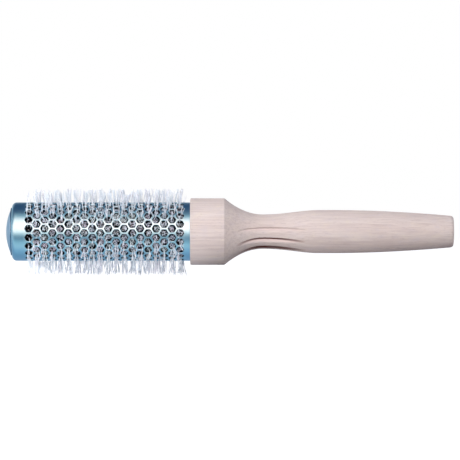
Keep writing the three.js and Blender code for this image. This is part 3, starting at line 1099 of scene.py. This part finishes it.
def strand_skins(tree, strands):
    """Three-sided threads that run as the numbers kept with each strand say."""
    lines = tree.result(
        "GeometryNodeInstanceOnPoints",
        {"Points": strands, "Instance": straight_line(tree, STRAND_POINTS)},
    )
    loose = tree.result("GeometryNodeRealizeInstances", {"Geometry": lines})

    hole_x, hole_angle, tip = tree.kept("hole")
    through_along, through_around, root = tree.kept("through")
    beyond_along, beyond_around, bend = tree.kept("beyond")
    thickness = tree.kept("section")[0]
    share = tree.result("GeometryNodeSplineParameter")
    root_radius = tree.given("root_radius")
    height = root_radius + (tip - root_radius) * share
    climb = (height - root_radius) / (tree.given("barrel_radius") - root_radius)
    inside = climb.at_most(1.0)
    outside = (climb - 1.0).at_least(0.0) * 2
    root_along = root * tree.given("column_pitch") / 2
    along = root_along * (1.0 - inside) + through_along * inside + beyond_along * outside
    along = along + bend * outside * outside
    around = through_around * inside + beyond_around * outside - bend * outside * outside
    angle = hole_angle + around / height
    place = tree.point(hole_x + along, -(height * angle.cos()), height * angle.sin())
    measured = tree.keep(loose, "to_end", tip - height, 0.0, 0.0)
    bent = tree.result("GeometryNodeSetPosition", {"Geometry": measured, "Position": place})
    thinning = ramp(tree, share, *STRAND_THINNING)
    return thread_skin(tree, bent, STRAND_SIDES, 1.0, thickness * thinning)


# ---- twisted wires

WIRE_POINTS, WIRE_SIDES = 150, 12
WIRE_END_GAP = 0.4 * WIRE_RADIUS  # the wires' middle lines end this far short of their solids


def twisted_wire():
    """Geometry Nodes: one of the two wires that are twisted round each other."""
    tree = Builder(
        "twisted_wire",
        tip_x=wire_tip_x + WIRE_END_GAP,
        rear_x=wire_rear_x - WIRE_END_GAP,
        pitch=WIRE_PITCH,
        offset=WIRE_RADIUS + WIRE_SPACE / 2,
        wire_radius=WIRE_RADIUS,
        start_angle=0.0,
        finish=galvanised_wire(),
    )
    share = tree.result("GeometryNodeSplineParameter")
    length = tree.given("rear_x") - tree.given("tip_x")
    angle = tree.given("start_angle") + share * length / tree.given("pitch") * (2 * math.pi)
    offset = tree.given("offset")
    place = tree.point(
        tree.given("tip_x") + share * length, offset * angle.cos(), offset * angle.sin()
    )
    twisted = tree.result(
        "GeometryNodeSetPosition",
        {"Geometry": straight_line(tree, WIRE_POINTS), "Position": place},
    )
    tree.finish(thread_skin(tree, twisted, WIRE_SIDES, tree.given("wire_radius")))
    return tree


# ---- cap and plug


def cap_profile():
    """The domed cap with its skirt and the boss that holds the wires, from its top round."""
    rim_radius = lip_radius + CAP_OVERHANG
    height = cap_seat_x - dome_top_x
    ball = (rim_radius**2 + height**2) / (2 * height)
    half_angle = math.degrees(math.asin(rim_radius / ball))
    skirt_radius = lip_radius - SKIRT_CLEARANCE
    socket_radius = WIRE_CORE_RADIUS + FIT_GAP
    boss_radius = socket_radius + BOSS_WALL
    dome = arc((dome_top_x + ball, 0), ball, 180, 180 - half_angle, 24)
    dome = dome[dome[:, 1] < rim_radius - CAP_EDGE]
    return joined(
        dome,
        arc((cap_seat_x - CAP_EDGE, rim_radius - CAP_EDGE), CAP_EDGE, 120, 0, 6),
        [
            (cap_seat_x, skirt_radius),
            (cap_seat_x + SKIRT_LENGTH, skirt_radius),
            (cap_seat_x + SKIRT_LENGTH, skirt_radius - SKIRT_WALL),
            (cap_seat_x, skirt_radius - SKIRT_WALL),
            (cap_seat_x, boss_radius),
            (cap_seat_x + BOSS_LENGTH, boss_radius),
            (cap_seat_x + BOSS_LENGTH, socket_radius),
            (cap_seat_x + SOCKET_FLOOR, socket_radius),
            (cap_seat_x + SOCKET_FLOOR, 0),
        ],
    )


def plug_profile():
    """The cup that closes the barrel's rear round the wires; its outline is a closed loop."""
    rim_radius = BARREL_RADIUS - BARREL_WALL - PLUG_CLEARANCE
    bore_radius = WIRE_CORE_RADIUS + FIT_GAP
    cup_floor_x = barrel_rear_x - PLUG_WALL
    return [
        (plug_front_x, rim_radius),
        (plug_front_x, rim_radius - PLUG_WALL),
        (cup_floor_x, rim_radius - PLUG_WALL),
        (cup_floor_x, bore_radius + PLUG_WALL),
        (plug_front_x, bore_radius + PLUG_WALL),
        (plug_front_x, bore_radius),
        (barrel_rear_x, bore_radius),
        (barrel_rear_x, rim_radius),
    ]


# ---- dressing the frame


def as_piece(name, mesh, finish):
    mesh.materials.append(finish)
    return in_scene(name, mesh)


def stand_for(piece, node):
    """The piece rides on the brush and hides a CAD node."""
    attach(piece, BODY)
    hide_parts(node)


def keep_as_numbers(mesh, vector_name, *names):
    """Turns the numbers kept as one vector into plain ones that a finish can read."""
    source = mesh.attributes[vector_name]
    values = np.zeros(len(source.data) * 3, np.float32)
    source.data.foreach_get("vector", values)
    mesh.attributes.remove(source)
    for axis, name in enumerate(names):
        number = mesh.attributes.new(name, "FLOAT", "POINT")
        number.data.foreach_set("value", values[axis::3])


def dress_handle():
    handle = as_piece("handle_wood", handle_mesh(), whitewashed_beech())
    stand_for(handle, "handle")


def dress_barrel():
    barrel = perforated_wall().grow("barrel_shell", barrel_bands())
    keep_as_numbers(barrel.data, "rims", "rim_wear_and_highlight")
    smooth(barrel.data, BARREL_SHARP_ABOVE, merge_within=SEAM_GAP)
    stand_for(barrel, "barrel")


def dress_bristles():
    tufts = bristle_tufts()
    for i in range(BRISTLE_NODES):
        rows = tufts.grow(
            f"bristle_rows_{i + 1}",
            bpy.data.meshes.new("no_base"),
            first_column=i * HOLE_COLUMNS // BRISTLE_NODES,
            seed=100 * i,
        )
        keep_as_numbers(rows.data, "tones", "tone", "tuft_tone")
        keep_as_numbers(rows.data, "to_end", "below_end")
        for used_up in ("hole", "section", "through", "beyond"):
            rows.data.attributes.remove(rows.data.attributes[used_up])
        stand_for(rows, f"bristles_{i + 1}")


def dress_wires():
    wires = twisted_wire()
    for i in range(2):
        no_base = bpy.data.meshes.new("no_base")
        wire = wires.grow(f"core_wire_{i + 1}", no_base, start_angle=math.pi * i)
        wire.data.shade_smooth()
        stand_for(wire, f"wire_strand_{i + 1}")


def dress_cap_and_plug():
    blue = metallised_plastic()
    grey = moulded_plastic("grey_plastic", (0.30, 0.31, 0.33, 1), (0.24, 0.25, 0.27, 1))
    cap = as_piece("domed_cap", turned("domed_cap", cap_profile()), blue)
    stand_for(cap, "tip_cap")
    plug = as_piece("barrel_plug", turned("barrel_plug", plug_profile(), closed=True), grey)
    stand_for(plug, "rear_plug")


# ---- studio

CAMERA_DISTANCE = 2.4
SENSOR_WIDTH = 36.0
PIXELS_ACROSS = 460
METRES_PER_PIXEL = 0.582 * MM
HANDLE_END_PIXEL = 453.5
MIDDLE_LINE_PIXEL = 231.6

SOFTBOX_DISTANCE = 1.2
# name, azimuth, half width and elevations in degrees, radiance
SOFTBOXES = [
    ("front_softbox", 0, 42, (-10, 42), 1.33),
    ("tip_side_softbox", -88, 40, (-8, 52), 2.8),
    ("grip_side_softbox", 78, 36, (5, 55), 0.45),
]

# What metal sees of the room, from the horizon up, and what lights everything else.
ROOM = (
    (0.0, (1, 1, 1)),
    (0.12, (0.78, 0.80, 0.84)),
    (0.34, (0.52, 0.56, 0.62)),
    (0.5, (0.28, 0.33, 0.40)),
    (0.64, (0.09, 0.13, 0.20)),
    (0.8, (0.04, 0.085, 0.17)),
    (1.0, (0.04, 0.085, 0.17)),
)
SOFT_ROOM = ((0.0, (0.84, 0.86, 0.90)), (0.3, (0.42, 0.44, 0.51)), (0.7, (0.18, 0.21, 0.29)))
# The long lamp that metal sees is warm, because blue metal would give a white one a cyan fringe.
# Each row has the degrees over which it fades out upwards, and its colour.
REFLECTED_LAMP = ((58, 84), (0.5, 0.78, 0.8)), ((48, 60), (4.0, 2.25, 1.8))
LAMP_FOOT = (-0.06, 0.0)  # radians over which it fades in from below
LAMP_TIP_END, LAMP_GRIP_END = (-1.0, -0.97), (0.75, 0.95)  # it ends between these, along X
# Towards the grip it hangs lower: just before the middle, over SLANT_SPAN of the direction's X,
# by LAMP_SLANT radians for each unit of it.
LAMP_SLANT, SLANT_SPAN = 2.6, 0.05

FLOOR_HALF_WIDTH = 8.0
FLOOR_COLOUR = (0.30, 0.30, 0.32, 1)
# What the floor throws back up, from the tip at 0 to the handle's end at 1: much under the
# bristles, little under the collar, and some under the neck and the grip.
THROWN_BACK = (
    (0.0, (0.95, 0.96, 1.0)),
    (0.4, (0.95, 0.96, 1.0)),
    (0.5, (0.20, 0.20, 0.21)),
    (0.56, (0.34, 0.34, 0.35)),
    (0.64, (0.74, 0.72, 0.73)),
    (0.75, (0.50, 0.48, 0.49)),
    (1.0, (0.36, 0.34, 0.35)),
)
# What metal sees of the floor, from under the brush at 0 to SHEEN_REACH in front of it at 1.
FLOOR_SHEEN = (
    (0.0, (0.42, 0.50, 0.64)),
    (0.012, (0.36, 0.46, 0.58)),
    (0.032, (0.55, 0.68, 0.82)),
    (0.05, (1.0, 1.0, 1.0)),
    (0.074, (0.68, 0.82, 0.84)),
    (0.095, (0.28, 0.40, 0.48)),
    (0.14, (0.16, 0.24, 0.32)),
    (0.3, (0.5, 0.68, 0.68)),
    (0.5, (1.25, 1.35, 1.25)),
    (0.9, (2.2, 1.9, 1.6)),
)
SHEEN_REACH = 0.5
SHEEN_BEHIND = (0.68, 0.71, 0.76, 1)  # the even colour that it has behind the brush
SHEEN_CHANGE = (0.01, 0.06)  # metres behind the middle line over which it turns to that
CARD = (0.28, 0.28, 0.29, 1)  # a pale card that lies under the barrel and lights the bristles
CARD_END = (-0.175, -0.155)  # it fades out between these x
NEAR_FLOOR = (0.84, 0.84, 0.85, 1)
FLOOR_FADE = (0.25, 0.7)  # metres from the brush over which the floor turns white to the camera
BLACK, WHITE = (0, 0, 0, 1), (1, 1, 1, 1)


def add_camera():
    """Level with the brush, square to its side, framed as the photograph is."""
    camera = in_scene("camera", bpy.data.cameras.new("camera"))
    half = PIXELS_ACROSS / 2
    camera.location = (
        (half - HANDLE_END_PIXEL) * METRES_PER_PIXEL,
        -CAMERA_DISTANCE,
        (MIDDLE_LINE_PIXEL - half) * METRES_PER_PIXEL,
    )
    camera.rotation_euler = (math.pi / 2, 0, 0)
    camera.data.sensor_width = SENSOR_WIDTH
    camera.data.lens = SENSOR_WIDTH * CAMERA_DISTANCE / (PIXELS_ACROSS * METRES_PER_PIXEL)
    camera.data.clip_end = 50
    bpy.context.scene.camera = camera


def add_softbox(name, azimuth, half_width, elevations, radiance):
    """A rectangular soft light that faces the brush from a round of SOFTBOX_DISTANCE. It spans
    half_width degrees to each side of its azimuth, 0 being the camera's side, and a low and a
    high elevation. The world paints its reflection."""
    middle = math.radians(sum(elevations) / 2)
    half_height = math.radians(elevations[1] - elevations[0]) / 2
    turn = math.radians(azimuth)
    lamp = bpy.data.lights.new(name, "AREA")
    lamp.shape = "RECTANGLE"
    lamp.size = 2 * SOFTBOX_DISTANCE * math.tan(math.radians(half_width))
    lamp.size_y = 2 * SOFTBOX_DISTANCE * math.tan(half_height)
    lamp.energy = radiance * math.pi * lamp.size * lamp.size_y
    box = in_scene(name, lamp)
    level = SOFTBOX_DISTANCE * math.cos(middle)
    box.location = (
        lip_face_x / 2 + level * math.sin(turn),
        -level * math.cos(turn),
        SOFTBOX_DISTANCE * math.sin(middle),
    )
    box.rotation_euler = (math.pi / 2 - middle, 0, turn)
    box.visible_camera = False
    box.visible_glossy = False


def seen_by(tree):
    """Masks for what the camera sees, and for what shiny and clear surfaces see."""
    path = tree.node("ShaderNodeLightPath")
    shiny = tree.out(path, "Is Glossy Ray") + tree.out(path, "Is Transmission Ray")
    return tree.out(path, "Is Camera Ray"), shiny.at_most(1.0)


def add_world():
    """White to the camera. Metal sees a room that is white at the horizon and dark and bluish
    overhead, with one long lamp; everything else is lit by a soft pale room."""
    world = bpy.data.worlds.new("studio")
    world.use_nodes = True
    tree = Tree(world.node_tree)
    direction = tree.out(tree.node("ShaderNodeTexCoord"), "Generated")
    along, away, up = tree.parts(direction)
    room = colour_steps(tree, up, *ROOM)
    slant = (along + SLANT_SPAN).at_least(0.0).at_most(SLANT_SPAN) * LAMP_SLANT
    rise = tree.math("ARCTAN2", up, -away) + slant
    beside = ramp(tree, along, *LAMP_TIP_END) * ramp(tree, along, *LAMP_GRIP_END, 1.0, 0.0)
    for (full, gone), colour in REFLECTED_LAMP:
        below_top = ramp(tree, rise, math.radians(full), math.radians(gone), 1.0, 0.0)
        lamp = below_top * ramp(tree, rise, *LAMP_FOOT) * beside
        room = blend(tree, lamp, room, (*colour, 1))
    to_camera, to_shiny = seen_by(tree)
    lit = blend(tree, to_shiny, colour_steps(tree, up, *SOFT_ROOM), room)
    background = tree.nodes["Background"]
    tree.feed(background.inputs["Color"], blend(tree, to_camera, lit, WHITE))
    background.inputs["Strength"].default_value = 1.0
    bpy.context.scene.world = world


def pale_floor():
    """Pale to the camera, and white further off. Metal sees the sheen and nothing else, and the
    floor lights the brush from below as it is painted to."""
    floor = Finish("pale_floor", Roughness=0.9, Specular_IOR_Level=0.0, Emission_Strength=1.0)
    x, y, _ = floor.parts(floor.object_place())
    to_camera, to_shiny = seen_by(floor)
    thrown_back = colour_steps(floor, x / -lip_face_x + 1.0, *THROWN_BACK)
    lit = blend(floor, to_camera, thrown_back, FLOOR_COLOUR)
    floor.set("Base Color", blend(floor, to_shiny, lit, BLACK))
    sheen = colour_steps(floor, -y / SHEEN_REACH, *FLOOR_SHEEN)
    sheen = blend(floor, ramp(floor, y, *SHEEN_CHANGE), sheen, SHEEN_BEHIND)
    off_x = x - lip_face_x / 2
    far = ramp(floor, (off_x * off_x + y * y).root(), *FLOOR_FADE)
    card = blend(floor, ramp(floor, x, *CARD_END), CARD, BLACK)
    unseen = blend(floor, to_shiny, card, sheen)
    glow = blend(floor, to_camera, unseen, blend(floor, far, NEAR_FLOOR, WHITE))
    floor.set("Emission Color", glow)
    return floor.material


def add_floor():
    """A plain pale floor that keeps the brush's shadow."""
    mesh = bpy.data.meshes.new("floor")
    reach = FLOOR_HALF_WIDTH
    corners = [(-reach, -reach), (reach, -reach), (reach, reach), (-reach, reach)]
    mesh.from_pydata([(x, y, floor_z) for x, y in corners], [], [(0, 1, 2, 3)])
    floor = as_piece("floor", mesh, pale_floor())


dress_handle()
dress_barrel()
dress_bristles()
dress_wires()
dress_cap_and_plug()
add_camera()
add_world()
add_floor()
for softbox in SOFTBOXES:
    add_softbox(*softbox)
bpy.context.scene.view_settings.view_transform = "Standard"
